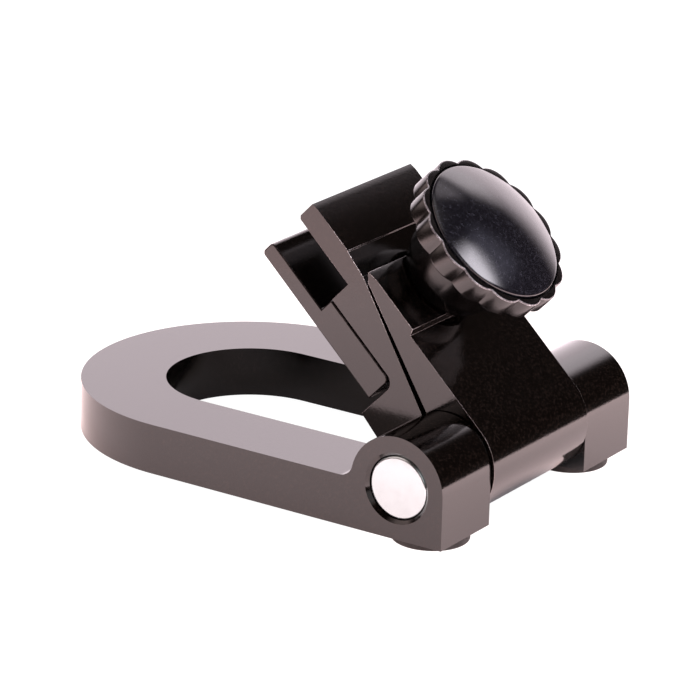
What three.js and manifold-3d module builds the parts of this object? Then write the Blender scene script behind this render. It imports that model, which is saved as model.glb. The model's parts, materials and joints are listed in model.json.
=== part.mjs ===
// Tilting micrometer stand: a U-shaped base on three feet carries a pinch-clamp arm on a hinge pin.
// One domed knob draws the sliding jaw in and closes the slit hub of the arm on the pin.
//
// Units are millimetres, +Z is up and Z = 0 is the surface that the feet stand on.
// X runs from the rounded toe to the hinge, Y lies along the hinge pin,
// and the origin is under the middle of the stand's overall length and width.
// Everything on the arm is drawn with the arm upright: X points out through the knob,
// Z points up the arm, and the origin is on the hinge axis.

import * as THREE from "three";
import { mergeVertices } from "three/addons/utils/BufferGeometryUtils.js";
import Module from "manifold-3d";

const wasm = await Module();
wasm.setup();

// Clearance between neighbouring pieces
const GAP = 0.3;

// Base
const BASE_LENGTH = 80.4;
const BASE_WIDTH = 55;
const SLOT_WIDTH = 28;
const PLATE_THICKNESS = 8;
const EAR_RADIUS = 8.1;
const EAR_FILLET = 2.3;
const PIN_HEIGHT_OVER_PLATE = 0.05;

// Feet
const FOOT_RADIUS = 6;
const FOOT_STANDS_PROUD = 1.4;
const FOOT_RECESS = 0.6;
const FOOT_EDGE = 0.25;
const REAR_FOOT_BEHIND_PIN = 1.8;
const REAR_FOOT_Y = 20.4;

// Hinge pin
const PIN_RADIUS = 5;
const PIN_INSET = 0.45;
const PIN_CHAMFER = 0.4;
const BORE_CHAMFER = 0.28;

// Arm
const ARM_LEAN = THREE.MathUtils.degToRad(46.3);
const ARM_WIDTH = SLOT_WIDTH - 2 * GAP;
const ARM_TOP = 43.1;
const BARREL_RADIUS = 8.55;
const SLAB_FRONT = 4.86;
const TOP_CHAMFER = 0.45;
const BACK_BREAK_WIDTH = 0.2;
const BACK_BREAK_HEIGHT = 1.2;
const NOTCH_FLOOR = 30.26;
const POCKET_WALL = 0.76;
const POCKET_FLOOR = 14.2;
const POCKET_FILLET = 1.8;
const POCKET_LIP = -7.47;
const FACET_TOP = 34.1;
const FACET_DEPTH = 0.62;
const FACET_STEP = 0.16;
const NOSE_TOP = 29.5;
const NOSE_CHAMFER = 1.2;
const PAD_FACE = 9.6;
const PAD_LOW = 18.5;
const PAD_LEDGE = 0.45;
const PAD_HIGH = 27.7;
const NOSE_CORNER = 0.3;
const SLIT_TOP_WIDTH = 0.4;
const SLIT_BOTTOM_WIDTH = 1.2;
const SLIT_SLOPE = 0.295;

// Jaw
const JAW_OUTER = -4.68;
const JAW_INNER = -1.98;
const JAW_BOTTOM = 15.13;
const JAW_HEEL_RADIUS = 1.2;

// Clamp screw, its washer and its spring
const SCREW_AT = 23.7;
const SCREW_RADIUS = 3;
const SCREW_TIP_INSET = 0.8;
const SCREW_TIP_CHAMFER = 0.6;
const SCREW_CLEARANCE = 0.4;
const HEX_RADIUS = 4.4;
const HEX_LENGTH = 4.5;
const WASHER_RADIUS = 5.6;
const WASHER_THICKNESS = 0.8;
const SPRING_RADIUS = 4.3;
const SPRING_WIRE_RADIUS = 0.42;
const SPRING_TURNS = 2.25;
const SPRING_END_CLEARANCE = 0.1;
const SPRING_POCKET_RADIUS = 5.4;
const SPRING_POCKET_DEPTH = 3.2;

// Guide dowels
const DOWEL_RADIUS = 2;
const DOWEL_SPACING = 17;
const DOWEL_CHAMFER = 0.3;
const DOWEL_TIP = -3.2;
const DOWEL_ROOT = 4.9;

// Knob
const KNOB_LOBES = 15;
const KNOB_PEAK_RADIUS = 13.4;
const KNOB_VALLEY_RADIUS = 12.6;
const KNOB_BACK = 19.25;
const KNOB_FRONT = 22.75;
const KNOB_EDGE = 0.3;
const KNOB_PHASE = THREE.MathUtils.degToRad(2.3);
const HUB_TIP_RADIUS = 7;
const HUB_RADIUS = 8.2;
const HUB_TAPER = 2.6;
const CAP_RADIUS = 11.9;
const CAP_RECESS = 1;
const CAP_RIM = 0.25;
const CAP_DOME = 2.6;

// Roundness of the facets
const FINE = 72;
const COARSE = 48;
const ARC_STEPS = 12;
const LOBE_STEPS = 6;
const WIRE_SIDES = 8;
const OVERSHOOT = 1;

const REAR_X = (BASE_LENGTH - (BARREL_RADIUS - EAR_RADIUS)) / 2;
const PIN_X = REAR_X - EAR_RADIUS;
const PLATE_TOP = FOOT_STANDS_PROUD + PLATE_THICKNESS;
const PIN_Z = PLATE_TOP + PIN_HEIGHT_OVER_PLATE;
const TOE_CENTRE_X = REAR_X - BASE_LENGTH + BASE_WIDTH / 2;
const LEG_WIDTH = (BASE_WIDTH - SLOT_WIDTH) / 2;
const TOE_FOOT_X = TOE_CENTRE_X - (SLOT_WIDTH + LEG_WIDTH) / 2;
const WASHER_BACK = PAD_FACE + GAP;
const HUB_TIP = WASHER_BACK;
const HUB_FLOOR = WASHER_BACK + WASHER_THICKNESS + GAP;

const anodised = { color: 0x2b2724, metalness: 0.8, roughness: 0.45 };
const steel = { color: 0xd8d8da, metalness: 1, roughness: 0.2 };
const springSteel = { color: 0x8f8f92, metalness: 1, roughness: 0.35 };
const blackPlastic = { color: 0x151414, metalness: 0, roughness: 0.3 };
const glossPlastic = { color: 0x19181b, metalness: 0, roughness: 0.12 };
const rubber = { color: 0x1d1b1b, metalness: 0, roughness: 0.85 };

// A closed three.js geometry as a solid that can be cut and joined.
function solid(geometry) {
  const bare = geometry.clone();
  bare.deleteAttribute("normal");
  bare.deleteAttribute("uv");
  const merged = mergeVertices(bare, 1e-4);
  return new wasm.Manifold(
    new wasm.Mesh({
      numProp: 3,
      vertProperties: new Float32Array(merged.attributes.position.array),
      triVerts: new Uint32Array(merged.index.array),
    }),
  );
}

// A solid, or a plain geometry, as a named mesh with its own material.
function piece(name, shape, look) {
  let geometry = shape;
  if (!shape.isBufferGeometry) {
    const { vertProperties, triVerts } = shape.getMesh();
    geometry = new THREE.BufferGeometry();
    geometry.setAttribute("position", new THREE.BufferAttribute(vertProperties, 3));
    geometry.setIndex(new THREE.BufferAttribute(triVerts, 1));
    geometry.computeVertexNormals();
  }
  const mesh = new THREE.Mesh(geometry, new THREE.MeshStandardMaterial(look));
  mesh.name = name;
  return mesh;
}

// An outline of [x, y] points.
function outline(points) {
  return new THREE.Shape(points.map(([x, y]) => new THREE.Vector2(x, y)));
}

// Points on an arc, both ends included; the angles are in radians.
function arc(x, y, radius, from, to, steps = ARC_STEPS) {
  return Array.from({ length: steps + 1 }, (_, i) => {
    const angle = from + ((to - from) * i) / steps;
    return [x + radius * Math.cos(angle), y + radius * Math.sin(angle)];
  });
}

// A plan outline raised from z = low to z = high.
function raised(points, low, high) {
  const geometry = new THREE.ExtrudeGeometry(outline(points), { depth: high - low, bevelEnabled: false });
  return solid(geometry.translate(0, 0, low));
}

// A side outline of [x, z] points carried across Y from low to high.
function across(points, low, high) {
  const geometry = new THREE.ExtrudeGeometry(outline(points), { depth: high - low, bevelEnabled: false });
  return solid(geometry.rotateX(Math.PI / 2).translate(0, high, 0));
}

// [radius, height] points turned about the Y axis.
function turned(profile, sides = COARSE) {
  return new THREE.LatheGeometry(
    profile.map(([radius, height]) => new THREE.Vector2(radius, height)),
    sides,
  );
}

// The same, about the screw axis of the upright arm: heights run out through the knob.
function turnedOnScrew(profile, sides = COARSE) {
  return turned(profile, sides).rotateZ(-Math.PI / 2).translate(0, 0, SCREW_AT);
}

// A plain rod profile between two heights, with an optional chamfer at each end.
function rod(radius, low, high, chamfer = 0) {
  const inner = radius - chamfer;
  return [
    [0, low],
    [inner, low],
    ...(chamfer ? [[radius, low + chamfer], [radius, high - chamfer]] : [[radius, high]]),
    ...(chamfer ? [[inner, high]] : []),
    [0, high],
  ];
}

// The U-shaped plan of the base: two straight legs joined by a round toe.
function basePlan() {
  const half = BASE_WIDTH / 2;
  const slot = SLOT_WIDTH / 2;
  const quarter = Math.PI / 2;
  return [
    [REAR_X, half],
    ...arc(TOE_CENTRE_X, 0, half, quarter, 3 * quarter, FINE / 2),
    [REAR_X, -half],
    [REAR_X, -slot],
    ...arc(TOE_CENTRE_X, 0, slot, 3 * quarter, quarter, FINE / 2),
    [REAR_X, slot],
  ];
}

// The side of an ear: round over the pin, square behind, with a fillet down to the leg.
function earSide() {
  const rise = EAR_FILLET - PIN_HEIGHT_OVER_PLATE;
  const reach = Math.sqrt((EAR_RADIUS + EAR_FILLET) ** 2 - rise ** 2);
  const meets = Math.atan2(rise, -reach);
  return [
    [REAR_X, FOOT_STANDS_PROUD],
    ...arc(PIN_X, PIN_Z, EAR_RADIUS, 0, meets, FINE / 2),
    ...arc(PIN_X - reach, PLATE_TOP + EAR_FILLET, EAR_FILLET, meets - Math.PI, -Math.PI / 2).slice(1),
    [PIN_X - reach, FOOT_STANDS_PROUD],
  ];
}

function makeBase() {
  let body = raised(basePlan(), FOOT_STANDS_PROUD, PLATE_TOP);
  const inner = SLOT_WIDTH / 2;
  const outer = BASE_WIDTH / 2;
  body = body.add(across(earSide(), inner, outer)).add(across(earSide(), -outer, -inner));
  const bore = PIN_RADIUS + GAP;
  const mouth = bore + BORE_CHAMFER;
  const tool = turned([
    [0, -outer - OVERSHOOT],
    [mouth + OVERSHOOT, -outer - OVERSHOOT],
    [bore, -outer + BORE_CHAMFER],
    [bore, outer - BORE_CHAMFER],
    [mouth + OVERSHOOT, outer + OVERSHOOT],
    [0, outer + OVERSHOOT],
  ], FINE);
  body = body.subtract(solid(tool.translate(PIN_X, 0, PIN_Z)));
  for (const [x, y] of footPlaces()) {
    const recess = turned(rod(FOOT_RADIUS + GAP, -OVERSHOOT, FOOT_RECESS)).rotateX(Math.PI / 2);
    body = body.subtract(solid(recess.translate(x, y, FOOT_STANDS_PROUD)));
  }
  return piece("base_frame", body, anodised);
}

// Left and right are as seen from behind the hinge, looking towards the toe.
function footPlaces() {
  const rearX = PIN_X + REAR_FOOT_BEHIND_PIN;
  return [
    [rearX, -REAR_FOOT_Y],
    [rearX, REAR_FOOT_Y],
    [TOE_FOOT_X, 0],
  ];
}

function makeFeet() {
  const names = ["rear_foot_left", "rear_foot_right", "toe_foot"];
  const height = FOOT_STANDS_PROUD + FOOT_RECESS - GAP;
  return footPlaces().map(([x, y], i) => {
    const foot = piece(names[i], turned(rod(FOOT_RADIUS, 0, height, FOOT_EDGE)).rotateX(Math.PI / 2), rubber);
    foot.position.set(x, y, 0);
    return foot;
  });
}

function makePin() {
  const half = BASE_WIDTH / 2 - PIN_INSET;
  const pin = piece("hinge_pin", turned(rod(PIN_RADIUS, -half, half, PIN_CHAMFER), FINE), steel);
  pin.position.set(PIN_X, 0, PIN_Z);
  return pin;
}

// Where the front of the arm leaves the barrel on its way up to the pocket's lip.
function barrelTangent() {
  const reach = Math.hypot(POCKET_LIP, POCKET_FLOOR);
  return Math.atan2(POCKET_FLOOR, POCKET_LIP) + Math.acos(BARREL_RADIUS / reach);
}

// The side of the slit: the front edge slopes back as it climbs, and the slit narrows upwards.
function slitFront(height) {
  const top = BARREL_RADIUS - FACET_DEPTH;
  return top - SLIT_SLOPE * (NOSE_TOP - height);
}

function slitBack(height) {
  const closing = (SLIT_BOTTOM_WIDTH - SLIT_TOP_WIDTH) / NOSE_TOP;
  return slitFront(height) + SLIT_BOTTOM_WIDTH - closing * height;
}

// The angle round the bore at which a straight edge of the slit comes out of it.
function slitMeetsBore(edge, bore) {
  const start = edge(0);
  const slope = edge(1) - start;
  const steepness = 1 + slope ** 2;
  const half = start * slope;
  const height = (Math.sqrt(half ** 2 - steepness * (start ** 2 - bore ** 2)) - half) / steepness;
  return Math.atan2(height, edge(height));
}

// The side of the arm, slit from the nose down into the pin bore.
function armSide() {
  const bore = PIN_RADIUS + GAP;
  const back = BARREL_RADIUS;
  const noseGap = slitBack(NOSE_TOP - NOSE_CHAMFER) + NOSE_CHAMFER;
  return [
    [SLAB_FRONT, NOTCH_FLOOR],
    [POCKET_WALL, NOTCH_FLOOR],
    ...arc(POCKET_WALL - POCKET_FILLET, POCKET_FLOOR + POCKET_FILLET, POCKET_FILLET, 0, -Math.PI / 2),
    [POCKET_LIP, POCKET_FLOOR],
    ...arc(0, 0, BARREL_RADIUS, barrelTangent(), 2 * Math.PI, FINE / 2),
    [back, PAD_LOW - PAD_LEDGE],
    [PAD_FACE, PAD_LOW],
    [PAD_FACE, PAD_HIGH],
    [PAD_FACE - NOSE_CORNER, NOSE_TOP],
    [noseGap, NOSE_TOP],
    [slitBack(NOSE_TOP - NOSE_CHAMFER), NOSE_TOP - NOSE_CHAMFER],
    ...arc(0, 0, bore, slitMeetsBore(slitBack, bore), slitMeetsBore(slitFront, bore) - 2 * Math.PI, FINE),
    [slitFront(NOSE_TOP), NOSE_TOP],
    [back - FACET_STEP, FACET_TOP - FACET_STEP],
    [back, FACET_TOP],
    [back, ARM_TOP - BACK_BREAK_HEIGHT],
    [back - BACK_BREAK_WIDTH, ARM_TOP],
    [SLAB_FRONT + TOP_CHAMFER, ARM_TOP],
    [SLAB_FRONT, ARM_TOP - TOP_CHAMFER],
  ];
}

function makeArm() {
  const half = ARM_WIDTH / 2;
  let body = across(armSide(), -half, half);
  const passage = turnedOnScrew(rod(SCREW_RADIUS + SCREW_CLEARANCE, JAW_OUTER, PAD_FACE + OVERSHOOT));
  const pocketEnd = POCKET_WALL + SPRING_POCKET_DEPTH;
  const springPocket = turnedOnScrew(rod(SPRING_POCKET_RADIUS, POCKET_WALL - OVERSHOOT, pocketEnd));
  body = body.subtract(solid(passage)).subtract(solid(springPocket));
  for (const y of dowelPlaces()) {
    const hole = turnedOnScrew(rod(DOWEL_RADIUS + GAP, POCKET_WALL - OVERSHOOT, DOWEL_ROOT + GAP));
    body = body.subtract(solid(hole.translate(0, y, 0)));
  }
  return piece("clamp_arm", body, anodised);
}

function dowelPlaces() {
  return [-DOWEL_SPACING / 2, DOWEL_SPACING / 2];
}

function makeDowels() {
  const names = ["guide_dowel_left", "guide_dowel_right"];
  return dowelPlaces().map((y, i) => {
    const profile = rod(DOWEL_RADIUS, DOWEL_TIP, DOWEL_ROOT, DOWEL_CHAMFER);
    return piece(names[i], turnedOnScrew(profile, COARSE / 2).translate(0, y, 0), steel);
  });
}

// The side of the jaw: a thin upper wall over a thicker heel that stands in the arm's pocket.
function jawSide() {
  const heel = POCKET_WALL - GAP;
  return [
    [JAW_INNER, NOTCH_FLOOR],
    [JAW_INNER, ARM_TOP - TOP_CHAMFER],
    [JAW_INNER - TOP_CHAMFER, ARM_TOP],
    [JAW_OUTER + TOP_CHAMFER, ARM_TOP],
    [JAW_OUTER, ARM_TOP - TOP_CHAMFER],
    [JAW_OUTER, JAW_BOTTOM],
    ...arc(heel - JAW_HEEL_RADIUS, JAW_BOTTOM + JAW_HEEL_RADIUS, JAW_HEEL_RADIUS, -Math.PI / 2, 0),
    [heel, NOTCH_FLOOR],
  ];
}

function makeJaw() {
  const half = ARM_WIDTH / 2;
  let body = across(jawSide(), -half, half);
  const screwHole = rod(SCREW_RADIUS + GAP, JAW_OUTER - OVERSHOOT, POCKET_WALL + OVERSHOOT);
  body = body.subtract(solid(turnedOnScrew(screwHole)));
  for (const y of dowelPlaces()) {
    const hole = turnedOnScrew(rod(DOWEL_RADIUS + GAP, DOWEL_TIP - GAP, POCKET_WALL + OVERSHOOT));
    body = body.subtract(solid(hole.translate(0, y, 0)));
  }
  return piece("clamp_jaw", body, anodised);
}

// A hexagonal prism on the screw axis.
function hexOnScrew(radius, low, high) {
  return solid(turnedOnScrew(rod(radius, low, high), 6));
}

// The threaded stud: its hexagonal head is held in the hub of the knob.
function makeStud() {
  const tip = JAW_OUTER + SCREW_TIP_INSET;
  const headTop = KNOB_BACK;
  const shank = turnedOnScrew([
    [0, tip],
    [SCREW_RADIUS - SCREW_TIP_CHAMFER, tip],
    [SCREW_RADIUS, tip + SCREW_TIP_CHAMFER],
    [SCREW_RADIUS, headTop - HEX_LENGTH / 2],
    [0, headTop - HEX_LENGTH / 2],
  ]);
  return piece("clamp_stud", solid(shank).add(hexOnScrew(HEX_RADIUS, headTop - HEX_LENGTH, headTop)), steel);
}

function makeWasher() {
  const bore = SCREW_RADIUS + SCREW_CLEARANCE;
  const low = WASHER_BACK;
  const high = WASHER_BACK + WASHER_THICKNESS;
  const ring = [[bore, low], [WASHER_RADIUS, low], [WASHER_RADIUS, high], [bore, high], [bore, low]];
  return piece("thrust_washer", solid(turnedOnScrew(ring)), springSteel);
}

// The spring's centre line, coiled round the screw.
class Coil extends THREE.Curve {
  getPoint(t, target = new THREE.Vector3()) {
    const angle = 2 * Math.PI * SPRING_TURNS * t;
    const margin = SPRING_WIRE_RADIUS + SPRING_END_CLEARANCE;
    const x = POCKET_WALL + margin + (SPRING_POCKET_DEPTH - GAP - 2 * margin) * t;
    const y = SPRING_RADIUS * Math.cos(angle);
    const z = SPRING_RADIUS * Math.sin(angle);
    return target.set(x, y, z + SCREW_AT);
  }
}

function makeSpring() {
  const wire = outline(arc(0, 0, SPRING_WIRE_RADIUS, 0, 2 * Math.PI, WIRE_SIDES).slice(0, -1));
  const steps = Math.round(SPRING_TURNS * COARSE / 2);
  const coil = new THREE.ExtrudeGeometry(wire, { steps, bevelEnabled: false, extrudePath: new Coil() });
  return piece("jaw_spring", solid(coil), springSteel);
}

// The rim of the knob: convex lobes that meet in sharp valleys.
function lobedRim(inset) {
  const half = Math.PI / KNOB_LOBES;
  const peak = KNOB_PEAK_RADIUS - inset;
  const valley = KNOB_VALLEY_RADIUS - inset;
  const chord = valley * Math.sin(half);
  const rise = peak - valley * Math.cos(half);
  const radius = (chord ** 2 + rise ** 2) / (2 * rise);
  const sweep = Math.asin(chord / radius);
  return Array.from({ length: KNOB_LOBES }, (_, i) => {
    const middle = 2 * half * i;
    const away = peak - radius;
    const lobe = arc(0, 0, radius, middle - sweep, middle + sweep, LOBE_STEPS).slice(1);
    return lobe.map(([x, y]) => [x + away * Math.cos(middle), y + away * Math.sin(middle)]);
  }).flat();
}

function makeKnob() {
  const rim = new THREE.ExtrudeGeometry(outline(lobedRim(KNOB_EDGE)), {
    depth: KNOB_FRONT - KNOB_BACK - 2 * KNOB_EDGE,
    bevelThickness: KNOB_EDGE,
    bevelSize: KNOB_EDGE,
    bevelSegments: 1,
  });
  rim.rotateY(Math.PI / 2).rotateX(Math.PI - KNOB_PHASE);
  rim.translate(KNOB_BACK + KNOB_EDGE, 0, SCREW_AT);
  const hub = turnedOnScrew([
    [0, HUB_FLOOR],
    [WASHER_RADIUS + GAP, HUB_FLOOR],
    [WASHER_RADIUS + GAP, HUB_TIP],
    [HUB_TIP_RADIUS, HUB_TIP],
    [HUB_RADIUS, HUB_TIP + HUB_TAPER],
    [HUB_RADIUS, KNOB_BACK + KNOB_EDGE],
    [0, KNOB_BACK + KNOB_EDGE],
  ]);
  const studHole = rod(SCREW_RADIUS + GAP, HUB_FLOOR - OVERSHOOT, KNOB_BACK);
  const hexHole = hexOnScrew(HEX_RADIUS + GAP, KNOB_BACK - HEX_LENGTH - GAP, KNOB_BACK + GAP);
  const capRecess = rod(CAP_RADIUS + GAP, KNOB_FRONT - CAP_RECESS, KNOB_FRONT + OVERSHOOT);
  const body = solid(rim)
    .add(solid(hub))
    .subtract(solid(turnedOnScrew(studHole)))
    .subtract(hexHole)
    .subtract(solid(turnedOnScrew(capRecess, FINE)));
  return piece("knob_body", body, blackPlastic);
}

// The domed cap: part of a sphere over a short straight rim.
function makeCap() {
  const edge = KNOB_FRONT + CAP_RIM;
  const sphere = (CAP_RADIUS ** 2 + CAP_DOME ** 2) / (2 * CAP_DOME);
  const sweep = Math.asin(CAP_RADIUS / sphere);
  const dome = Array.from({ length: ARC_STEPS + 1 }, (_, i) => {
    const angle = sweep * (1 - i / ARC_STEPS);
    return [sphere * Math.sin(angle), edge + CAP_DOME - sphere + sphere * Math.cos(angle)];
  });
  const seat = KNOB_FRONT - CAP_RECESS + GAP;
  const profile = [[0, seat], [CAP_RADIUS, seat], ...dome];
  return piece("knob_cap", turnedOnScrew(profile, FINE), glossPlastic);
}

function makeArmAssembly() {
  const arm = new THREE.Group();
  arm.position.set(PIN_X, 0, PIN_Z);
  arm.rotation.y = -ARM_LEAN;
  arm.add(makeArm(), ...makeDowels(), makeSpring(), makeWasher());
  arm.add(makeJaw());
  arm.add(makeStud(), makeKnob(), makeCap());
  return arm;
}

const stand = new THREE.Group();
stand.add(makeBase(), makePin(), ...makeFeet(), makeArmAssembly());

export default stand;
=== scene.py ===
"""Looks for the tilting micrometer stand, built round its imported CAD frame.

Each CAD node gets a finer stand-in with rounded edges and a procedural material.
Outlines are drawn in millimetres in the frame of the piece that carries them,
then placed in the row frame, in metres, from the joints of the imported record.
"""

import json
import math

import bmesh
import bpy
from mathutils import Matrix, Vector


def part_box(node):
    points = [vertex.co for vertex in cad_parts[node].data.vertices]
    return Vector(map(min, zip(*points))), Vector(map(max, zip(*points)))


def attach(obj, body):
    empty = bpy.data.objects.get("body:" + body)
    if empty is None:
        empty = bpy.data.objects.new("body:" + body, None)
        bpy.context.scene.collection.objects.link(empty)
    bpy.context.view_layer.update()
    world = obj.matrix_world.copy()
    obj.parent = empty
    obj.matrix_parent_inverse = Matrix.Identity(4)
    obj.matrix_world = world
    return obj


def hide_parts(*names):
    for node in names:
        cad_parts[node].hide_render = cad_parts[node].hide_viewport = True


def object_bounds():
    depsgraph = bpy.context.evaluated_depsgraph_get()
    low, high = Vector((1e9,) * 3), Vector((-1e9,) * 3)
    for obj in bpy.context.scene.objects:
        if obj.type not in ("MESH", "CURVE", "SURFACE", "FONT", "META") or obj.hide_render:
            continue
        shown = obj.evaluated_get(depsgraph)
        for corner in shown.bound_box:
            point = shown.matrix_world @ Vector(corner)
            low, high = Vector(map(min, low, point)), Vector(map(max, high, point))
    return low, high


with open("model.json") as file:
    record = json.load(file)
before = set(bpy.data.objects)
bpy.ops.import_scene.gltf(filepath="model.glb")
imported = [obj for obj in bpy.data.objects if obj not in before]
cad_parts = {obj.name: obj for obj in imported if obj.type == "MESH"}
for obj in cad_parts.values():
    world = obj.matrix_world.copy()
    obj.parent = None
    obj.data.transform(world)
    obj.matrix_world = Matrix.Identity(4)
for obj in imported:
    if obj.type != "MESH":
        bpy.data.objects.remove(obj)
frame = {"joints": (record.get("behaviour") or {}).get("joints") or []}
cad_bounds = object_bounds()

MM = 0.001
JOINTS = {joint["name"]: joint for joint in frame["joints"]}
PIVOT = Vector(JOINTS["arm_tilt"]["pos_m"])
OUT = Vector(JOINTS["knob_turn"]["axis"]).normalized()
ALONG = Vector((0, 1, 0))
UP = OUT.cross(ALONG)

# Base, in millimetres in the row frame
BASE_LENGTH = 80.4
BASE_WIDTH = 55
SLOT_WIDTH = 28
FOOT_HEIGHT = 1.4
PLATE_TOP = 9.4
EAR_RADIUS = 8.1
EAR_FILLET = 2.3
FOOT_RADIUS = 6
FOOT_EDGE = 0.3
FOOT_RECESS = 0.6

# Hinge
PIN_RADIUS = 5
PIN_INSET = 0.45
PIN_EDGE = 0.5
PIN_FIT = 0.06
BORE_MOUTH = 0.28
GAP = 0.3

# Arm and jaw, in millimetres from the hinge axis: out through the knob, and up the arm
ARM_WIDTH = SLOT_WIDTH - 2 * GAP
ARM_TOP = 43.1
BARREL_RADIUS = 8.55
SLAB_FRONT = 4.86
TOP_CHAMFER = 0.45
BACK_BREAK_WIDTH = 0.2
BACK_BREAK_HEIGHT = 1.2
NOTCH_FLOOR = 30.26
POCKET_WALL = 0.76
POCKET_FLOOR = 14.2
POCKET_FILLET = 1.8
POCKET_LIP = -7.47
FACET_TOP = 34.1
FACET_DEPTH = 0.62
FACET_STEP = 0.16
NOSE_TOP = 29.5
NOSE_CHAMFER = 1.2
PAD_FACE = 9.6
PAD_LOW = 18.5
PAD_LEDGE = 0.45
PAD_HIGH = 27.7
NOSE_CORNER = 0.3
SLIT_TOP_WIDTH = 0.4
SLIT_BOTTOM_WIDTH = 1.2
SLIT_SLOPE = 0.295
JAW_OUTER = -4.68
JAW_INNER = -1.98
JAW_BOTTOM = 15.13
JAW_HEEL_RADIUS = 1.2

# Clamp screw and what turns with it, in millimetres along the screw from the hinge axis
SCREW_AT = 23.7
SCREW_RADIUS = 3
SCREW_CLEARANCE = 0.4
SCREW_PITCH = 1
THREAD_DEPTH = 0.55
STUD_TAPER = 0.6
STUD_INSET = 0.8
WASHER_RADIUS = 5.6
WASHER_THICKNESS = 0.8
WASHER_EDGE = 0.12
SPRING_RADIUS = 4.3
SPRING_WIRE_RADIUS = 0.42
SPRING_TURNS = 2.25
SPRING_END_GAP = 0.1
SPRING_POCKET_RADIUS = 5.4
SPRING_POCKET_DEPTH = 3.2
DOWEL_RADIUS = 2
DOWEL_EDGE = 0.3
DOWEL_SPACING = 17
DOWEL_TIP = -3.2
DOWEL_ROOT = 4.9
HEX_RADIUS = 4.4
HEX_LENGTH = 4.5
KNOB_LOBES = 15
KNOB_PEAK_RADIUS = 13.4
KNOB_VALLEY_RADIUS = 12.6
KNOB_BACK = 19.25
KNOB_FRONT = 22.75
KNOB_PHASE = math.radians(2.3)
KNOB_EDGE_RADIUS = 0.3
HUB_TIP_RADIUS = 7
HUB_RADIUS = 8.2
HUB_TAPER = 2.6
HUB_FILLET = 0.5
HUB_SHOULDER = 1
HUB_SHOULDER_RISE = 0.4
HUB_SHOULDER_SWEEP = 24
HUB_TIP_EDGE = 0.2
HUB_BORE_EDGE = 0.15
CAP_RADIUS = 11.9
CAP_RECESS = 1
CAP_RECESS_LIP = 0.1
CAP_RIM = 0.25
CAP_DOME = 2.6
CAP_LIP = 0.18
CAP_BRIM_EDGE = 0.04

# Steps in an arc, and sides of the turned shapes
CURVED = 48
ROUND = 128
HOLE_SIDES = 64
DOWEL_SIDES = 48
THREAD_SIDES = 48
WASHER_SIDES = 96
CAP_SIDES = 160
LOBE_SIDES = 24

# Widths of the edges that a bevel rounds, and how far a cutting tool stands out of what it cuts
EDGE = 0.22
FINE_EDGE = 0.12
PROUD = 1


def placed(origin, x, y, z):
    """A frame in the row frame whose unit is the millimetre."""
    turn = Matrix((x, y, z)).transposed().to_4x4()
    return Matrix.Translation(origin) @ turn @ Matrix.Scale(MM, 4)


ROW = Matrix.Scale(MM, 4)
PIN = placed(PIVOT, *Matrix.Identity(3))
ARM = placed(PIVOT, OUT, ALONG, UP)
SCREW = placed(PIVOT + UP * SCREW_AT * MM, ALONG, UP, OUT)
REAR = cad_bounds[1].x / MM - (BARREL_RADIUS - EAR_RADIUS)
PIN_X = PIVOT.x / MM
PIN_Z = PIVOT.z / MM
TOE_CENTRE = REAR - BASE_LENGTH + BASE_WIDTH / 2


# ---------------------------------------------------------------- outlines and solids


def arc(x, y, radius, start, end, steps=CURVED):
    """Points on an arc, both ends included; the angles are in degrees."""
    angles = [math.radians(start + (end - start) * i / steps) for i in range(steps + 1)]
    return [(x + radius * math.cos(a), y + radius * math.sin(a)) for a in angles]


def prism(outline, low, high, point):
    """An outline carried from low to high; point(a, b, height) says where each corner goes."""
    mesh = bmesh.new()
    ends = [[mesh.verts.new(point(a, b, h)) for a, b in outline] for h in (low, high)]
    mesh.faces.new(ends[0])
    mesh.faces.new(ends[1])
    count = len(outline)
    for i in range(count):
        j = (i + 1) % count
        mesh.faces.new((ends[0][i], ends[0][j], ends[1][j], ends[1][i]))
    bmesh.ops.recalc_face_normals(mesh, faces=mesh.faces)
    return mesh


def raised(outline, low, high):
    return prism(outline, low, high, lambda a, b, h: (a, b, h))


def across(outline, low, high):
    return prism(outline, low, high, lambda a, b, h: (a, h, b))


def turned(profile, steps=ROUND, closed=False):
    """(radius, height) points turned about Z. A radius may be a function of the angle."""
    mesh = bmesh.new()
    rings = []
    for radius, height in profile:
        if radius == 0:
            rings.append([mesh.verts.new((0, 0, height))])
            continue
        ring = []
        for i in range(steps):
            angle = 2 * math.pi * i / steps
            r = radius(angle) if callable(radius) else radius
            ring.append(mesh.verts.new((r * math.cos(angle), r * math.sin(angle), height)))
        rings.append(ring)
    pairs = list(zip(rings, rings[1:]))
    if closed:
        pairs.append((rings[-1], rings[0]))
    for lower, upper in pairs:
        for i in range(steps):
            j = (i + 1) % steps
            corners = (
                lower[i % len(lower)],
                lower[j % len(lower)],
                upper[j % len(upper)],
                upper[i % len(upper)],
            )
            mesh.faces.new(list(dict.fromkeys(corners)))
    bmesh.ops.recalc_face_normals(mesh, faces=mesh.faces)
    return mesh


def softened(radius, low, high, edge, steps=4):
    """The profile of a rod with rounded ends."""
    return [
        (0, low),
        *arc(radius - edge, low + edge, edge, -90, 0, steps),
        *arc(radius - edge, high - edge, edge, 0, 90, steps),
        (0, high),
    ]


def rod(radius, low, high):
    return [(0, low), (radius, low), (radius, high), (0, high)]


def to_object(mesh, name, place):
    mesh.transform(place)
    data = bpy.data.meshes.new(name)
    mesh.to_mesh(data)
    mesh.free()
    made = bpy.data.objects.new(name, data)
    bpy.context.scene.collection.objects.link(made)
    return made


MERGE_DISTANCE = 1e-7
FLAT_ANGLE = math.radians(0.4)


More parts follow.
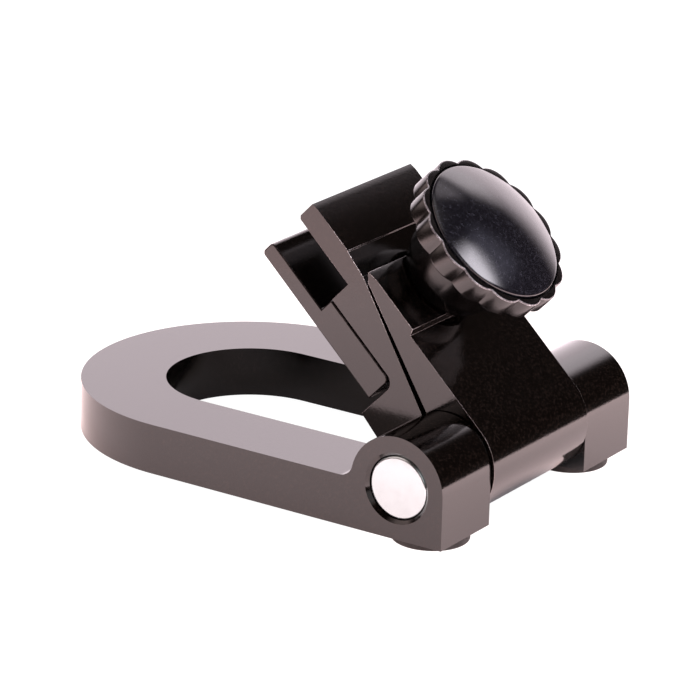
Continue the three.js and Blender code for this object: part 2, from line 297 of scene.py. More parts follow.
def carved(body, tools):
    """Body less the tools, with the flat faces that the cuts split joined up again."""
    for tool in tools:
        cut = body.modifiers.new("cut", "BOOLEAN")
        cut.operation = "DIFFERENCE"
        cut.solver = "EXACT"
        cut.object = tool
    bpy.context.view_layer.update()
    depsgraph = bpy.context.evaluated_depsgraph_get()
    shape = bpy.data.meshes.new_from_object(body.evaluated_get(depsgraph))
    body.modifiers.clear()
    body.data = shape
    for tool in tools:
        bpy.data.objects.remove(tool)
    mesh = bmesh.new()
    mesh.from_mesh(shape)
    bmesh.ops.remove_doubles(mesh, verts=mesh.verts, dist=MERGE_DISTANCE)
    bmesh.ops.dissolve_limit(mesh, angle_limit=FLAT_ANGLE, verts=mesh.verts, edges=mesh.edges)
    mesh.to_mesh(shape)
    mesh.free()
    return body


def soften_edges(piece, width, segments=3, angle=24):
    bevel = piece.modifiers.new("rounded edges", "BEVEL")
    bevel.width = width * MM
    bevel.segments = segments
    bevel.limit_method = "ANGLE"
    bevel.angle_limit = math.radians(angle)
    bevel.harden_normals = True
    bevel.use_clamp_overlap = True
    bevel.material = 1


def dress(piece, materials, body, slot, *nodes, crease=None):
    """Gives a piece its materials, smooth shading and body, and hides the CAD nodes that it stands for. The
    finish named by slot is not used.
    """
    piece.data.materials.clear()
    for material in materials:
        piece.data.materials.append(material)
    if crease is None:
        piece.data.shade_smooth()
    else:
        piece.data.set_sharp_from_angle(angle=math.radians(crease))
        for face in piece.data.polygons:
            face.use_smooth = True
    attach(piece, body)
    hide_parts(*nodes)


# ---------------------------------------------------------------- materials


class Nodes:
    """A small helper that makes the nodes of one material or world and links them."""

    def __init__(self, tree):
        self.tree = tree
        tree.nodes.clear()

    def add(self, kind, settings=None, **inputs):
        node = self.tree.nodes.new(kind)
        for key, value in (settings or {}).items():
            setattr(node, key, value)
        for key, value in inputs.items():
            self.set(node, key.replace("_", " "), value)
        return node

    def set(self, node, key, value):
        socket = node.inputs[int(key)] if key.isdigit() else node.inputs[key]
        if isinstance(value, bpy.types.NodeSocket):
            self.tree.links.new(value, socket)
        else:
            socket.default_value = value

    def maths(self, operation, *values, clamp=False):
        node = self.add("ShaderNodeMath", {"operation": operation, "use_clamp": clamp})
        for i, value in enumerate(values):
            self.set(node, str(i), value)
        return node.outputs[0]

    def ramp(self, value, low, high, start=0.0, end=1.0):
        node = self.add("ShaderNodeMapRange", {"interpolation_type": "SMOOTHSTEP"}, Value=value)
        for key, number in (("From Min", low), ("From Max", high), ("To Min", start), ("To Max", end)):
            self.set(node, key, number)
        return node.outputs["Result"]

    def noise(self, place, scale, detail=2.0, roughness=0.5, distortion=0.0):
        node = self.add("ShaderNodeTexNoise", Vector=place, Scale=scale, Detail=detail)
        self.set(node, "Roughness", roughness)
        self.set(node, "Distortion", distortion)
        return node.outputs["Fac"]

    def blend(self, factor, first, second):
        node = self.add("ShaderNodeMix", {"data_type": "RGBA"})
        self.set(node, "0", factor)
        for index, colour in ((6, first), (7, second)):
            self.set(node, str(index), colour if isinstance(colour, bpy.types.NodeSocket) else (*colour, 1))
        return node.outputs[2]


def new_material(name):
    material = bpy.data.materials.new(name)
    material.use_nodes = True
    nodes = Nodes(material.node_tree)
    output = nodes.add("ShaderNodeOutputMaterial")
    shader = nodes.add("ShaderNodeBsdfPrincipled")
    material.node_tree.links.new(shader.outputs[0], output.inputs[0])
    position = nodes.add("ShaderNodeTexCoord").outputs["Object"]
    scale = nodes.add("ShaderNodeVectorMath", {"operation": "SCALE"})
    nodes.set(scale, "0", position)
    nodes.set(scale, "Scale", 1 / MM)
    return material, nodes, shader, scale.outputs[0]


def bump(nodes, shader, *layers):
    """Relief from (height, depth in millimetres) layers."""
    normal = None
    for height, depth in layers:
        node = nodes.add("ShaderNodeBump", Height=height, Distance=depth * MM, Strength=1.0)
        if normal is not None:
            nodes.set(node, "Normal", normal)
        normal = node.outputs[0]
    nodes.set(shader, "Normal", normal)


def anodised():
    """Bead-blasted aluminium under black anodising: almost no colour of its own, satin gloss, fine grain."""
    material, nodes, shader, mm = new_material("anodised_black")
    grain = nodes.noise(mm, 5.5, 3.0, 0.65)
    cloud = nodes.noise(mm, 0.16, 3.0, 0.5)
    mottle = nodes.noise(mm, 2.3, 2.0, 0.7)
    speck = nodes.ramp(mottle, 0.5, 0.66)
    dark = nodes.blend(cloud, (0.0003, 0.0001, 0.0001), (0.0008, 0.0004, 0.0003))
    nodes.set(shader, "Base Color", nodes.blend(speck, dark, (0.013, 0.009, 0.0073)))
    nodes.set(shader, "Roughness", nodes.ramp(grain, 0.3, 0.7, 0.09, 0.13))
    nodes.set(shader, "IOR", 1.6)
    bump(nodes, shader, (grain, 0.003), (mottle, 0.006))
    return material


BARE = (0.95, 0.9, 0.9)
SIDE_EDGE = 0.3
KNOCK_FULL = 3
KNOCK_GONE = 6


def worn_edge(name, covered_and_highlit, bared, rubbed_and_highlit=None, knocks=()):
    """Edge bevels: anodising that handling has thinned along an edge, down to bare metal round a few knocks.

    Where the anodising stays, the edge colour is lighter than the faces, a painted highlight line along the
    edges. The arm's outermost edges, which are handled most, get a lighter colour still: partly wear, partly
    a painted highlight.
    """
    material, nodes, shader, mm = new_material(name)
    patches = nodes.noise(mm, 0.35, 2.0, 0.5)
    specks = nodes.noise(mm, 2.6, 3.0, 0.7)
    rub = nodes.ramp(nodes.maths("ADD", patches, specks), 0.94, 1.2)
    # painted highlight: the edge colour is lighter than the faces; the patches are wear down to bare metal
    colour = nodes.blend(rub, covered_and_highlit, bared)
    if rubbed_and_highlit:
        along = nodes.add("ShaderNodeSeparateXYZ", Vector=mm).outputs[1]
        inner = ARM_WIDTH / 2 - SIDE_EDGE
        side = nodes.ramp(nodes.maths("ABSOLUTE", along), inner, inner + 0.1)
        # painted highlight, with some wear, along the arm's outermost side edges
        colour = nodes.blend(side, colour, rubbed_and_highlit)
    for place in knocks:
        away = nodes.add("ShaderNodeVectorMath", {"operation": "DISTANCE"})
        nodes.set(away, "0", mm)
        nodes.set(away, "1", place)
        near = nodes.ramp(away.outputs["Value"], KNOCK_FULL, KNOCK_GONE, 1.0, 0.0)
        knock = nodes.maths("MULTIPLY", near, nodes.ramp(specks, 0.36, 0.56))
        colour = nodes.blend(knock, colour, BARE)
    nodes.set(shader, "Base Color", colour)
    nodes.set(shader, "Metallic", 0.7)
    nodes.set(shader, "Roughness", nodes.ramp(rub, 0, 1, 0.25, 0.4))
    nodes.set(shader, "IOR", 1.6)
    bump(nodes, shader, (nodes.noise(mm, 5.5, 3.0, 0.6), 0.005))
    return material


def steel(name, colour, roughness, grain_scale, grain_depth):
    material, nodes, shader, mm = new_material(name)
    cloud = nodes.noise(mm, 0.6, 4.0, 0.6)
    nodes.set(shader, "Base Color", nodes.blend(cloud, [0.8 * c for c in colour], colour))
    nodes.set(shader, "Metallic", 1.0)
    nodes.set(shader, "Roughness", nodes.ramp(cloud, 0.3, 0.7, roughness, roughness + 0.08))
    bump(nodes, shader, (nodes.noise(mm, grain_scale, 3.0), grain_depth))
    return material


def plastic(name, colour, dust_and_glints, roughness, ripple, ior=1.56, speck_scale=3.6):
    """Glossy moulded black plastic with a little moulding ripple and fine specks. The specks are dusty
    specks on most pieces, and painted glints on the knob's edge material.
    """
    material, nodes, shader, mm = new_material(name)
    cloud = nodes.noise(mm, 0.22, 4.0, 0.6, 0.4)
    specks = nodes.ramp(nodes.noise(mm, speck_scale, 4.0, 0.7), 0.46, 0.74)
    nodes.set(shader, "Base Color", nodes.blend(specks, colour, dust_and_glints))
    nodes.set(shader, "Roughness", nodes.ramp(cloud, 0.3, 0.7, roughness, roughness + 0.07))
    nodes.set(shader, "IOR", ior)
    bump(nodes, shader, (nodes.noise(mm, 0.35, 2.0, 0.5), ripple), (nodes.noise(mm, 3.6, 2.0), 0.0022))
    return material


def rubber():
    material, nodes, shader, mm = new_material("black_rubber")
    cloud = nodes.noise(mm, 0.7, 4.0, 0.6)
    nodes.set(shader, "Base Color", nodes.blend(cloud, (0.01, 0.009, 0.009), (0.028, 0.025, 0.024)))
    nodes.set(shader, "Roughness", nodes.ramp(cloud, 0.3, 0.7, 0.55, 0.75))
    bump(nodes, shader, (nodes.noise(mm, 4.0, 3.0, 0.6), 0.02))
    return material


def on_arm(out, along, up):
    """A point in millimetres from the hinge axis, as millimetres in the row frame."""
    return PIVOT / MM + OUT * out + ALONG * along + UP * up


NEAR_SIDE = -ARM_WIDTH / 2
KNOCKS = (
    on_arm(PAD_FACE, NEAR_SIDE, 23),
    on_arm(PAD_FACE, NEAR_SIDE, 27),
    on_arm(BARREL_RADIUS, NEAR_SIDE, FACET_TOP),
)
ANODISED = anodised()
# The arm's edge colours are lighter than its faces: painted highlight lines, with wear patches and knocks
ARM_EDGE = worn_edge(
    "anodised_edge_arm_worn_and_highlit",
    (0.05, 0.043, 0.042),
    (0.2, 0.18, 0.18),
    rubbed_and_highlit=(0.26, 0.23, 0.225),
    knocks=KNOCKS,
)
JAW_EDGE = worn_edge("anodised_edge_jaw", (0.02, 0.016, 0.015), (0.07, 0.06, 0.06))
BASE_EDGE = worn_edge("anodised_edge_base", (0.01, 0.008, 0.008), (0.12, 0.105, 0.105))
BRIGHT = steel("bright_steel", (0.53, 0.61, 0.62), 0.16, 2.5, 0.0008)
SPRING_STEEL = steel("spring_steel", (0.16, 0.16, 0.165), 0.3, 3.0, 0.002)
KNOB = plastic("knob_plastic", (0.003, 0.0025, 0.0025), (0.014, 0.012, 0.012), 0.15, 0.014, 1.64)
# Painted highlight along the rim's rounded front edge: a light edge colour, with white specks as painted
# glints
KNOB_EDGE = plastic("knob_edge_painted_highlight", (0.15, 0.14, 0.15), (0.8, 0.77, 0.8), 0.16, 0.002, 1.65)
# A darker copy of the knob plastic for the hub behind the rim: painted shade
KNOB_HUB_SHADED = plastic("knob_hub_painted_shade", (0.0012, 0.001, 0.001), (0.004, 0.0035, 0.0035), 0.16, 0.014)
CAP = plastic(
    "cap_plastic",
    (0.007, 0.0075, 0.0115),
    (0.034, 0.036, 0.047),
    roughness=0.1,
    ripple=0.007,
    ior=1.68,
    speck_scale=1.7,
)
RUBBER = rubber()


# ---------------------------------------------------------------- base

FEET = ("rear_foot_left", "rear_foot_right", "toe_foot")


def base_shape():
    """The U-shaped plate and its two ears: straight legs, a round toe, and a fillet up to each ear."""
    half = BASE_WIDTH / 2
    slot = SLOT_WIDTH / 2
    plan = [
        (REAR, half),
        *arc(TOE_CENTRE, 0, half, 90, 270, 2 * CURVED),
        (REAR, -half),
        (REAR, -slot),
        *arc(TOE_CENTRE, 0, slot, 270, 90, 2 * CURVED),
        (REAR, slot),
    ]
    plate = to_object(raised(plan, FOOT_HEIGHT, PLATE_TOP), "base_casting", ROW)
    rise = EAR_FILLET + PLATE_TOP - PIN_Z
    reach = math.sqrt((EAR_RADIUS + EAR_FILLET) ** 2 - rise**2)
    meets = math.degrees(math.atan2(rise, -reach))
    side = [
        (REAR, FOOT_HEIGHT),
        *arc(PIN_X, PIN_Z, EAR_RADIUS, 0, meets, 2 * CURVED),
        *arc(PIN_X - reach, PLATE_TOP + EAR_FILLET, EAR_FILLET, meets - 180, -90, CURVED // 3)[1:],
        (PIN_X - reach, FOOT_HEIGHT),
    ]
    ears = [to_object(across(side, *ys), "ear", ROW) for ys in ((slot, half), (-half, -slot))]
    for ear in ears:
        join = plate.modifiers.new("join", "BOOLEAN")
        join.operation = "UNION"
        join.solver = "EXACT"
        join.object = ear
    bore = PIN_RADIUS + PIN_FIT
    mouth = GAP - PIN_FIT + BORE_MOUTH
    mouths = [
        (0, -half - PROUD),
        (bore + mouth + PROUD, -half - PROUD),
        (bore, -half + mouth),
        (bore, half - mouth),
        (bore + mouth + PROUD, half + PROUD),
        (0, half + PROUD),
    ]
    tools = [to_object(turned(mouths), "bore", PIN @ Matrix.Rotation(-math.pi / 2, 4, "X"))]
    for x, y in foot_places():
        recess = turned(rod(FOOT_RADIUS + GAP, -PROUD, FOOT_RECESS))
        tools.append(to_object(recess, "recess", ROW @ Matrix.Translation((x, y, FOOT_HEIGHT))))
    piece = carved(plate, tools)
    for ear in ears:
        bpy.data.objects.remove(ear)
    return piece


def foot_places():
    """The middles of the feet, from their CAD nodes."""
    places = []
    for node in FEET:
        low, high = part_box(node)
        places.append(((low.x + high.x) / 2 / MM, (low.y + high.y) / 2 / MM))
    return places


def make_base():
    base = base_shape()
    soften_edges(base, EDGE)
    dress(base, [ANODISED, BASE_EDGE], "base", "anodised_black", "base_frame")
    half = BASE_WIDTH / 2 - PIN_INSET
    pin_place = PIN @ Matrix.Rotation(-math.pi / 2, 4, "X")
    pin = to_object(turned(softened(PIN_RADIUS, -half, half, PIN_EDGE)), "ground_pin", pin_place)
    dress(pin, [BRIGHT], "base", "bright_steel", "hinge_pin", crease=30)
    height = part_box("toe_foot")[1].z / MM
    for node, (x, y) in zip(FEET, foot_places()):
        shape = turned(softened(FOOT_RADIUS, 0, height, FOOT_EDGE))
        foot = to_object(shape, node.replace("foot", "pad"), ROW @ Matrix.Translation((x, y, 0)))
        dress(foot, [RUBBER], "base", "black_rubber", node, crease=40)


# ---------------------------------------------------------------- arm and jaw


def slit_front(height):
    return BARREL_RADIUS - FACET_DEPTH - SLIT_SLOPE * (NOSE_TOP - height)


def slit_back(height):
    closing = (SLIT_BOTTOM_WIDTH - SLIT_TOP_WIDTH) / NOSE_TOP
    return slit_front(height) + SLIT_BOTTOM_WIDTH - closing * height


def slit_meets_bore(edge, bore):
    """The angle round the bore, in degrees, at which a straight edge of the slit comes out of it."""
    start = edge(0)
    slope = edge(1) - start
    steepness = 1 + slope**2
    half = start * slope
    height = (math.sqrt(half**2 - steepness * (start**2 - bore**2)) - half) / steepness
    return math.degrees(math.atan2(height, edge(height)))


def arm_side():
    bore = PIN_RADIUS + GAP
    back = BARREL_RADIUS
    reach = math.hypot(POCKET_LIP, POCKET_FLOOR)
    leaves = math.degrees(math.atan2(POCKET_FLOOR, POCKET_LIP) + math.acos(BARREL_RADIUS / reach))
    nose_shoulder = slit_back(NOSE_TOP - NOSE_CHAMFER)
    return [
        (SLAB_FRONT, NOTCH_FLOOR),
        (POCKET_WALL, NOTCH_FLOOR),
        *arc(POCKET_WALL - POCKET_FILLET, POCKET_FLOOR + POCKET_FILLET, POCKET_FILLET, 0, -90, CURVED // 3),
        (POCKET_LIP, POCKET_FLOOR),
        *arc(0, 0, BARREL_RADIUS, leaves, 360, 2 * CURVED),
        (back, PAD_LOW - PAD_LEDGE),
        (PAD_FACE, PAD_LOW),
        (PAD_FACE, PAD_HIGH),
        (PAD_FACE - NOSE_CORNER, NOSE_TOP),
        (nose_shoulder + NOSE_CHAMFER, NOSE_TOP),
        (nose_shoulder, NOSE_TOP - NOSE_CHAMFER),
        *arc(0, 0, bore, slit_meets_bore(slit_back, bore), slit_meets_bore(slit_front, bore) - 360, ROUND),
        (slit_front(NOSE_TOP), NOSE_TOP),
        (back - FACET_STEP, FACET_TOP - FACET_STEP),
        (back, FACET_TOP),
        (back, ARM_TOP - BACK_BREAK_HEIGHT),
        (back - BACK_BREAK_WIDTH, ARM_TOP),
        (SLAB_FRONT + TOP_CHAMFER, ARM_TOP),
        (SLAB_FRONT, ARM_TOP - TOP_CHAMFER),
    ]


def on_screw(profile, name, y=0, steps=ROUND):
    place = SCREW @ Matrix.Translation((y, 0, 0))
    return to_object(turned(profile, steps), name, place)


def dowel_places():
    return (-DOWEL_SPACING / 2, DOWEL_SPACING / 2)


def make_arm():
    half = ARM_WIDTH / 2
    body = to_object(across(arm_side(), -half, half), "clamp_block", ARM)
    passage = rod(SCREW_RADIUS + SCREW_CLEARANCE, JAW_OUTER, PAD_FACE + PROUD)
    pocket = rod(SPRING_POCKET_RADIUS, POCKET_WALL - PROUD, POCKET_WALL + SPRING_POCKET_DEPTH)
    tools = [on_screw(passage, "passage", steps=HOLE_SIDES), on_screw(pocket, "pocket")]
    for y in dowel_places():
        hole = rod(DOWEL_RADIUS + GAP, POCKET_WALL - PROUD, DOWEL_ROOT + GAP)
        tools.append(on_screw(hole, "hole", y, HOLE_SIDES))
    arm = carved(body, tools)
    soften_edges(arm, EDGE)
    dress(arm, [ANODISED, ARM_EDGE], "arm", "anodised_black", "clamp_arm")


def make_jaw():
    heel = POCKET_WALL - GAP
    side = [
        (JAW_INNER, NOTCH_FLOOR),
        (JAW_INNER, ARM_TOP - TOP_CHAMFER),
        (JAW_INNER - TOP_CHAMFER, ARM_TOP),
        (JAW_OUTER + TOP_CHAMFER, ARM_TOP),
        (JAW_OUTER, ARM_TOP - TOP_CHAMFER),
        (JAW_OUTER, JAW_BOTTOM),
        *arc(heel - JAW_HEEL_RADIUS, JAW_BOTTOM + JAW_HEEL_RADIUS, JAW_HEEL_RADIUS, -90, 0, CURVED // 4),
        (heel, NOTCH_FLOOR),
    ]
    half = ARM_WIDTH / 2
    body = to_object(across(side, -half, half), "sliding_jaw", ARM)
    passage = rod(SCREW_RADIUS + GAP, JAW_OUTER - PROUD, POCKET_WALL + PROUD)
    tools = [on_screw(passage, "passage", steps=HOLE_SIDES)]
    for y in dowel_places():
        hole = rod(DOWEL_RADIUS + GAP, DOWEL_TIP - GAP, POCKET_WALL + PROUD)
        tools.append(on_screw(hole, "hole", y, HOLE_SIDES))
    jaw = carved(body, tools)
    soften_edges(jaw, EDGE)
    dress(jaw, [ANODISED, JAW_EDGE], "jaw", "anodised_black", "clamp_jaw")


# ---------------------------------------------------------------- clamp screw, washer, spring, dowels


def make_dowels():
    for node, y in zip(("guide_dowel_left", "guide_dowel_right"), dowel_places()):
        profile = softened(DOWEL_RADIUS, DOWEL_TIP, DOWEL_ROOT, DOWEL_EDGE)
        dowel = on_screw(profile, node.replace("guide_", "ground_"), y, DOWEL_SIDES)
        dress(dowel, [BRIGHT], "arm", "bright_steel", node, crease=40)


def make_washer():
    low = PAD_FACE + GAP
    high = low + WASHER_THICKNESS
    edge = WASHER_EDGE
    bore = SCREW_RADIUS + SCREW_CLEARANCE
    profile = [
        (bore + edge, low),
        (WASHER_RADIUS - edge, low),
        (WASHER_RADIUS, low + edge),
        (WASHER_RADIUS, high - edge),
        (WASHER_RADIUS - edge, high),
        (bore + edge, high),
        (bore, high - edge),
        (bore, low + edge),
    ]
    washer = to_object(turned(profile, WASHER_SIDES, closed=True), "thrust_ring", SCREW)
    dress(washer, [SPRING_STEEL], "arm", "spring_steel", "thrust_washer", crease=30)


def make_spring():
    margin = SPRING_WIRE_RADIUS + SPRING_END_GAP
    low = POCKET_WALL + margin
    high = POCKET_WALL + SPRING_POCKET_DEPTH - GAP - margin
    steps_per_turn = 32
    steps = int(steps_per_turn * SPRING_TURNS)
    sides = 12
    mesh = bmesh.new()
    rings = []
    for i in range(steps + 1):
        angle = 2 * math.pi * SPRING_TURNS * i / steps
        height = low + (high - low) * i / steps
        ring = []
        for k in range(sides):
            around = 2 * math.pi * k / sides
            radius = SPRING_RADIUS + SPRING_WIRE_RADIUS * math.cos(around)
            z = height + SPRING_WIRE_RADIUS * math.sin(around)
            ring.append(mesh.verts.new((radius * math.cos(angle), radius * math.sin(angle), z)))
        rings.append(ring)
    for lower, upper in zip(rings, rings[1:]):
        for k in range(sides):
            j = (k + 1) % sides
            mesh.faces.new((lower[k], lower[j], upper[j], upper[k]))
    mesh.faces.new(rings[0])
    mesh.faces.new(rings[-1])
    bmesh.ops.recalc_face_normals(mesh, faces=mesh.faces)
    spring = to_object(mesh, "coil_spring", SCREW)
    dress(spring, [SPRING_STEEL], "arm", "spring_steel", "jaw_spring", crease=50)


def make_stud():
    """A threaded stud, and its hexagonal head inside the knob's hub."""
    tip = JAW_OUTER + STUD_INSET
    head = KNOB_BACK - HEX_LENGTH
    rings_per_turn = 12
    count = int((head - tip) / SCREW_PITCH * rings_per_turn)
    profile = [(0, tip)]
    for i in range(count + 1):
        height = tip + SCREW_PITCH * i / rings_per_turn

        def radius(angle, height=height):
            phase = (height / SCREW_PITCH - angle / (2 * math.pi)) % 1
            groove = THREAD_DEPTH * abs(2 * phase - 1)
            tapered = SCREW_RADIUS - max(0, STUD_TAPER - (height - tip))
            return min(SCREW_RADIUS - groove, tapered)

        profile.append((radius, height))
    profile.append((0, tip + SCREW_PITCH * count / rings_per_turn))
    stud = to_object(turned(profile, THREAD_SIDES), "threaded_stud", SCREW)
    dress(stud, [BRIGHT], "knob", "bright_steel", "clamp_stud", crease=35)
    hexagon = turned([(0, head), (HEX_RADIUS, head), (HEX_RADIUS, KNOB_BACK), (0, KNOB_BACK)], 6)
    nut = to_object(hexagon, "hex_head", SCREW)
    soften_edges(nut, FINE_EDGE)
    nut.data.materials.append(BRIGHT)
    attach(nut, "knob")


# ---------------------------------------------------------------- knob


def lobed(inset):
    """The rim's radius round the knob: convex lobes that meet in sharp valleys."""
    half = math.pi / KNOB_LOBES
    chord = KNOB_VALLEY_RADIUS * math.sin(half)
    rise = KNOB_PEAK_RADIUS - KNOB_VALLEY_RADIUS * math.cos(half)
    lobe = (chord**2 + rise**2) / (2 * rise)
    middle = KNOB_PEAK_RADIUS - lobe

    def radius(angle):
        first_peak = math.pi / 2 - KNOB_PHASE
        offset = (angle - first_peak + half) % (2 * half) - half
        outer = middle * math.cos(offset) + math.sqrt(lobe**2 - (middle * math.sin(offset)) ** 2)
        return outer - inset

    return radius


# The rim's front-edge faces between these slopes carry the painted highlight
STEEPEST_HIGHLIT = 0.2
FLATTEST_HIGHLIT = 0.98


def make_knob():
    edge = KNOB_EDGE_RADIUS
    groove = CAP_RADIUS + GAP
    tip = PAD_FACE + GAP
    bearing = tip + WASHER_THICKNESS + GAP
    shoulder = tip + HUB_TAPER + HUB_SHOULDER_RISE
    bore = WASHER_RADIUS + GAP
    floor = KNOB_FRONT - CAP_RECESS
    front = [(lobed(edge * (1 - math.sin(a))), KNOB_FRONT - edge * (1 - math.cos(a))) for a in quarter(5)]
    back = [(lobed(edge * (1 - math.cos(a))), KNOB_BACK + edge * (1 - math.sin(a))) for a in quarter(5)]
    profile = [
        (0, floor),
        (groove, floor),
        (groove, KNOB_FRONT - CAP_RECESS_LIP),
        (groove + CAP_RECESS_LIP / 2, KNOB_FRONT),
        *front,
        *back,
        *arc(HUB_RADIUS + HUB_FILLET, KNOB_BACK - HUB_FILLET, HUB_FILLET, 90, 180, 6),
        *arc(HUB_RADIUS - HUB_SHOULDER, shoulder, HUB_SHOULDER, 0, -HUB_SHOULDER_SWEEP, 5),
        (HUB_TIP_RADIUS + HUB_TIP_EDGE / 2, tip + 1.5 * HUB_TIP_EDGE),
        *arc(HUB_TIP_RADIUS - HUB_TIP_EDGE, tip + HUB_TIP_EDGE, HUB_TIP_EDGE, 0, -90, 4),
        *arc(bore + HUB_BORE_EDGE, tip + HUB_BORE_EDGE, HUB_BORE_EDGE, -90, -180, 4),
        (bore, bearing),
        (HEX_RADIUS + GAP, bearing),
        (HEX_RADIUS + GAP, KNOB_BACK + GAP),
        (0, KNOB_BACK + GAP),
    ]
    knob = to_object(turned(profile, KNOB_LOBES * LOBE_SIDES), "lobed_rim", SCREW)
    dress(knob, [KNOB, KNOB_EDGE, KNOB_HUB_SHADED], "knob", "knob_plastic", "knob_body", crease=34)
    along_screw = SCREW.inverted()
    for face in knob.data.polygons:
        place = along_screw @ face.center
        on_rim = math.hypot(place.x, place.y) > groove + GAP and place.z > KNOB_BACK + 2 * edge
        # the hub, behind the rim, takes the darker copy of the plastic: painted shade
        if place.z < KNOB_BACK - GAP:
            face.material_index = 2
        # the rim's rounded front edge gets the painted highlight
        elif on_rim and STEEPEST_HIGHLIT < face.normal.dot(OUT) < FLATTEST_HIGHLIT:
            face.material_index = 1


def quarter(steps):
    """Angles from 0 to a right angle, both included."""
    return [math.pi / 2 * i / steps for i in range(steps + 1)]


def make_cap():
    seat = KNOB_FRONT - CAP_RECESS + GAP / 2
    brim = KNOB_FRONT + CAP_RIM
    sphere = (CAP_RADIUS**2 + CAP_DOME**2) / (2 * CAP_DOME)
    sweep = math.asin(CAP_RADIUS / sphere)
    rings = 32
    dome = []
    for i in range(rings):
        angle = sweep * (1 - (i + 0.5) / rings)
        dome.append((sphere * math.sin(angle), brim + CAP_DOME - sphere + sphere * math.cos(angle)))
    profile = [
        (0, seat),
        (CAP_RADIUS, seat),
        (CAP_RADIUS, brim - CAP_LIP),
        (CAP_RADIUS - CAP_BRIM_EDGE, brim - CAP_BRIM_EDGE),
        *dome,
        (0, brim + CAP_DOME),
    ]
    cap = to_object(turned(profile, CAP_SIDES), "domed_cap", SCREW)
    dress(cap, [CAP], "knob", "cap_plastic", "knob_cap", crease=40)


# ---------------------------------------------------------------- stage, light and camera

# Lengths here are in metres
FLOOR_RADIUS = 0.11
SHADE_INSIDE = 0.004
SHADE_OUTSIDE = 0.003
GLOW_REACH = 0.09
GLOW_NEAR = 1.45
GLOW_FAR = 2.2
REAR_REACH = 0.03
REAR_GAIN = 1.32
FLOOR_COLOUR = (0.8, 0.78, 0.77, 1)
GLOW_COLOUR = (1, 0.745, 0.735, 1)
WHITE_COLOUR = (1, 1, 1, 1)
WHITE = 1.25
WHITE_SHARE = 0.8


def make_floor():
    """A pale floor that glows round the base but not under or inside it, where no studio light reaches.

    The camera sees it white.
    """
    mesh = bmesh.new()
    bmesh.ops.create_circle(mesh, cap_ends=True, radius=FLOOR_RADIUS, segments=96)
    floor = to_object(mesh, "floor", Matrix.Identity(4))
    material = bpy.data.materials.new("pale_floor")
    material.use_nodes = True
    nodes = Nodes(material.node_tree)
    output = nodes.add("ShaderNodeOutputMaterial")
    place = nodes.add("ShaderNodeSeparateXYZ", Vector=nodes.add("ShaderNodeTexCoord").outputs["Object"])
    x = place.outputs[0]
    half = BASE_WIDTH / 2 * MM
    nearest = nodes.maths("MINIMUM", nodes.maths("MAXIMUM", x, TOE_CENTRE * MM), REAR * MM - half)
    away_x = nodes.maths("SUBTRACT", x, nearest)
    square_x = nodes.maths("POWER", away_x, 2.0)
    square_y = nodes.maths("POWER", place.outputs[1], 2.0)
    distance = nodes.maths("SQRT", nodes.maths("ADD", square_x, square_y))
    unshaded = nodes.ramp(distance, half - SHADE_INSIDE, half + SHADE_OUTSIDE)
    outward = nodes.ramp(distance, half, half + GLOW_REACH, GLOW_NEAR, GLOW_FAR)
    behind = nodes.ramp(x, REAR * MM, REAR * MM + REAR_REACH, 1.0, REAR_GAIN)
    fill = nodes.maths("MULTIPLY", unshaded, nodes.maths("MULTIPLY", outward, behind))
    diffuse = nodes.add("ShaderNodeBsdfDiffuse", Color=FLOOR_COLOUR)
    glow = nodes.add("ShaderNodeEmission", Color=GLOW_COLOUR, Strength=fill)
    real = nodes.add("ShaderNodeAddShader")
    nodes.set(real, "0", diffuse.outputs[0])
    nodes.set(real, "1", glow.outputs[0])
    white = nodes.add("ShaderNodeEmission", Color=WHITE_COLOUR, Strength=WHITE)
    seen = nodes.add("ShaderNodeLightPath").outputs["Is Camera Ray"]
    mix = nodes.add("ShaderNodeMixShader")
    nodes.set(mix, "0", nodes.maths("MULTIPLY", seen, WHITE_SHARE))
    nodes.set(mix, "1", real.outputs[0])
    nodes.set(mix, "2", white.outputs[0])
    material.node_tree.links.new(mix.outputs[0], output.inputs[0])
    floor.data.materials.append(material)


# Soft lights round the stand: name, slant, azimuths, elevations and colour. Each light rises from
# nothing to full between its first two angles, and falls off between its last two, in degrees.
# Above SLANT_LEVEL it leans sideways, by its slant for each degree that it climbs.
SOFT_LIGHTS = (
    ("backdrop", 0.3, (70, 94, 162, 180), (-60, -40, 37, 50), (2.37, 2.04, 2.17)),
    ("backdrop centre", 0, (76, 94, 106, 118), (25, 34, 40, 49), (2.65, 2.37, 2.5)),
    ("glow over the backdrop", 0, (72, 84, 98, 110), (46, 53, 60, 68), (0.9, 0.8, 0.85)),
    ("unlit corner", 0, (28, 40, 62, 92), (-18, -10, -8, 8), (0.06, 0.045, 0.04)),
    ("front fill", 0, (-88, -70, -18, 2), (0, 8, 26, 36), (0.7, 0.65, 0.65)),
    ("side fill", 0, (-178, -168, -116, -100), (2, 14, 50, 62), (1.3, 1, 0.95)),
    ("ceiling", 0, (-200, -190, 190, 200), (64, 76, 100, 110), (0.7, 0.64, 0.64)),
    ("haze", 0, (-20, 10, 38, 58), (18, 30, 46, 56), (0.42, 0.4, 0.52)),
    ("key", 0.2, (-14, -4, 14, 27), (19, 30, 44, 56), (9, 8.5, 9.3)),
)
SLANT_LEVEL = 18
ROOM = (0.04, 0.028, 0.024)
BELOW = (2.9, 2.13, 2.1)
BELOW_FULL = -15
BELOW_GONE = -7


def window(nodes, angle, start, full, fading, gone):
    """1 while the angle is between full and fading, falling smoothly to 0 at start and gone."""
    rising = nodes.ramp(angle, start, full)
    falling = nodes.ramp(angle, fading, gone, 1.0, 0.0)
    return nodes.maths("MULTIPLY", rising, falling)


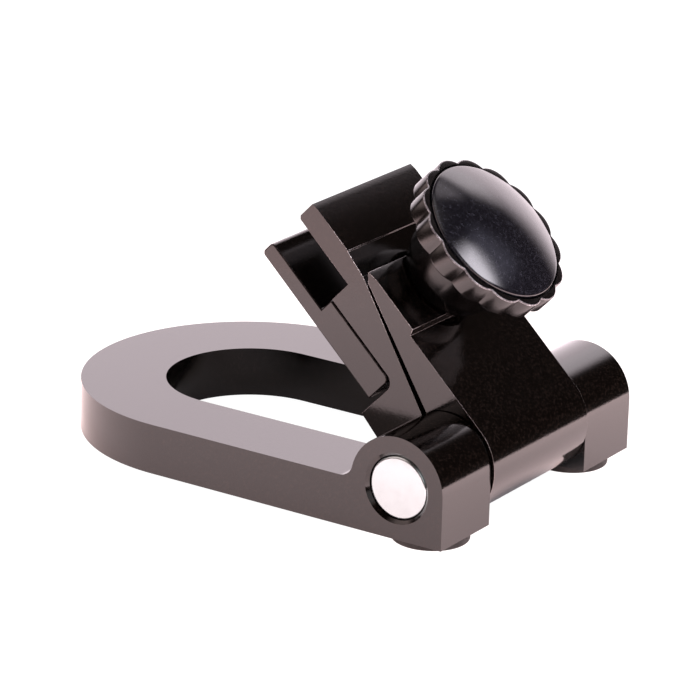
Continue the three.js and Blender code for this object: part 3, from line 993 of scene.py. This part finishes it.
def make_world():
    """Soft studio light from every side. The camera sees plain white behind the stand."""
    world = bpy.data.worlds.new("studio")
    bpy.context.scene.world = world
    world.use_nodes = True
    nodes = Nodes(world.node_tree)
    output = nodes.add("ShaderNodeOutputWorld")
    way = nodes.add("ShaderNodeSeparateXYZ", Vector=nodes.add("ShaderNodeTexCoord").outputs["Generated"])
    x, y, z = way.outputs
    azimuth = nodes.maths("DEGREES", nodes.maths("ARCTAN2", y, x))
    elevation = nodes.maths("DEGREES", nodes.maths("ARCSINE", z))
    above = nodes.maths("MAXIMUM", nodes.maths("SUBTRACT", elevation, SLANT_LEVEL), 0.0)
    colour = nodes.blend(nodes.ramp(elevation, BELOW_FULL, BELOW_GONE), BELOW, ROOM)
    for _, slant, azimuths, elevations, light in SOFT_LIGHTS:
        angle = nodes.maths("SUBTRACT", azimuth, nodes.maths("MULTIPLY", above, slant))
        sideways = window(nodes, angle, *azimuths)
        upward = window(nodes, elevation, *elevations)
        colour = nodes.blend(nodes.maths("MULTIPLY", sideways, upward), colour, light)
    lit = nodes.add("ShaderNodeBackground", Color=colour, Strength=1.0)
    white = nodes.add("ShaderNodeBackground", Color=WHITE_COLOUR, Strength=WHITE)
    mix = nodes.add("ShaderNodeMixShader")
    nodes.set(mix, "0", nodes.add("ShaderNodeLightPath").outputs["Is Camera Ray"])
    nodes.set(mix, "1", lit.outputs[0])
    nodes.set(mix, "2", white.outputs[0])
    world.node_tree.links.new(mix.outputs[0], output.inputs[0])


def make_camera():
    """The camera at the photograph's viewing angle."""
    azimuth = math.radians(33.103)
    elevation = math.radians(19.181)
    roll = math.radians(1.602)
    distance = 0.6166
    aim = Vector((0.00943, -0.00665, 0.02063))
    back = Vector((
        math.sin(azimuth) * math.cos(elevation),
        -math.cos(azimuth) * math.cos(elevation),
        math.sin(elevation),
    ))
    right = Vector((math.cos(azimuth), math.sin(azimuth), 0))
    turn = Matrix((right, back.cross(right), back)).transposed() @ Matrix.Rotation(roll, 3, "Z")
    camera = bpy.data.cameras.new("camera")
    camera.sensor_width = 36
    camera.lens = 206.04
    camera.clip_start = 0.05
    made = bpy.data.objects.new("camera", camera)
    made.matrix_world = Matrix.Translation(aim + back * distance) @ turn.to_4x4()
    bpy.context.scene.collection.objects.link(made)
    bpy.context.scene.camera = made


make_camera()
make_base()
make_arm()
make_jaw()
make_dowels()
make_washer()
make_spring()
make_stud()
make_knob()
make_cap()
make_floor()
make_world()
bpy.context.scene.view_settings.view_transform = "Standard"
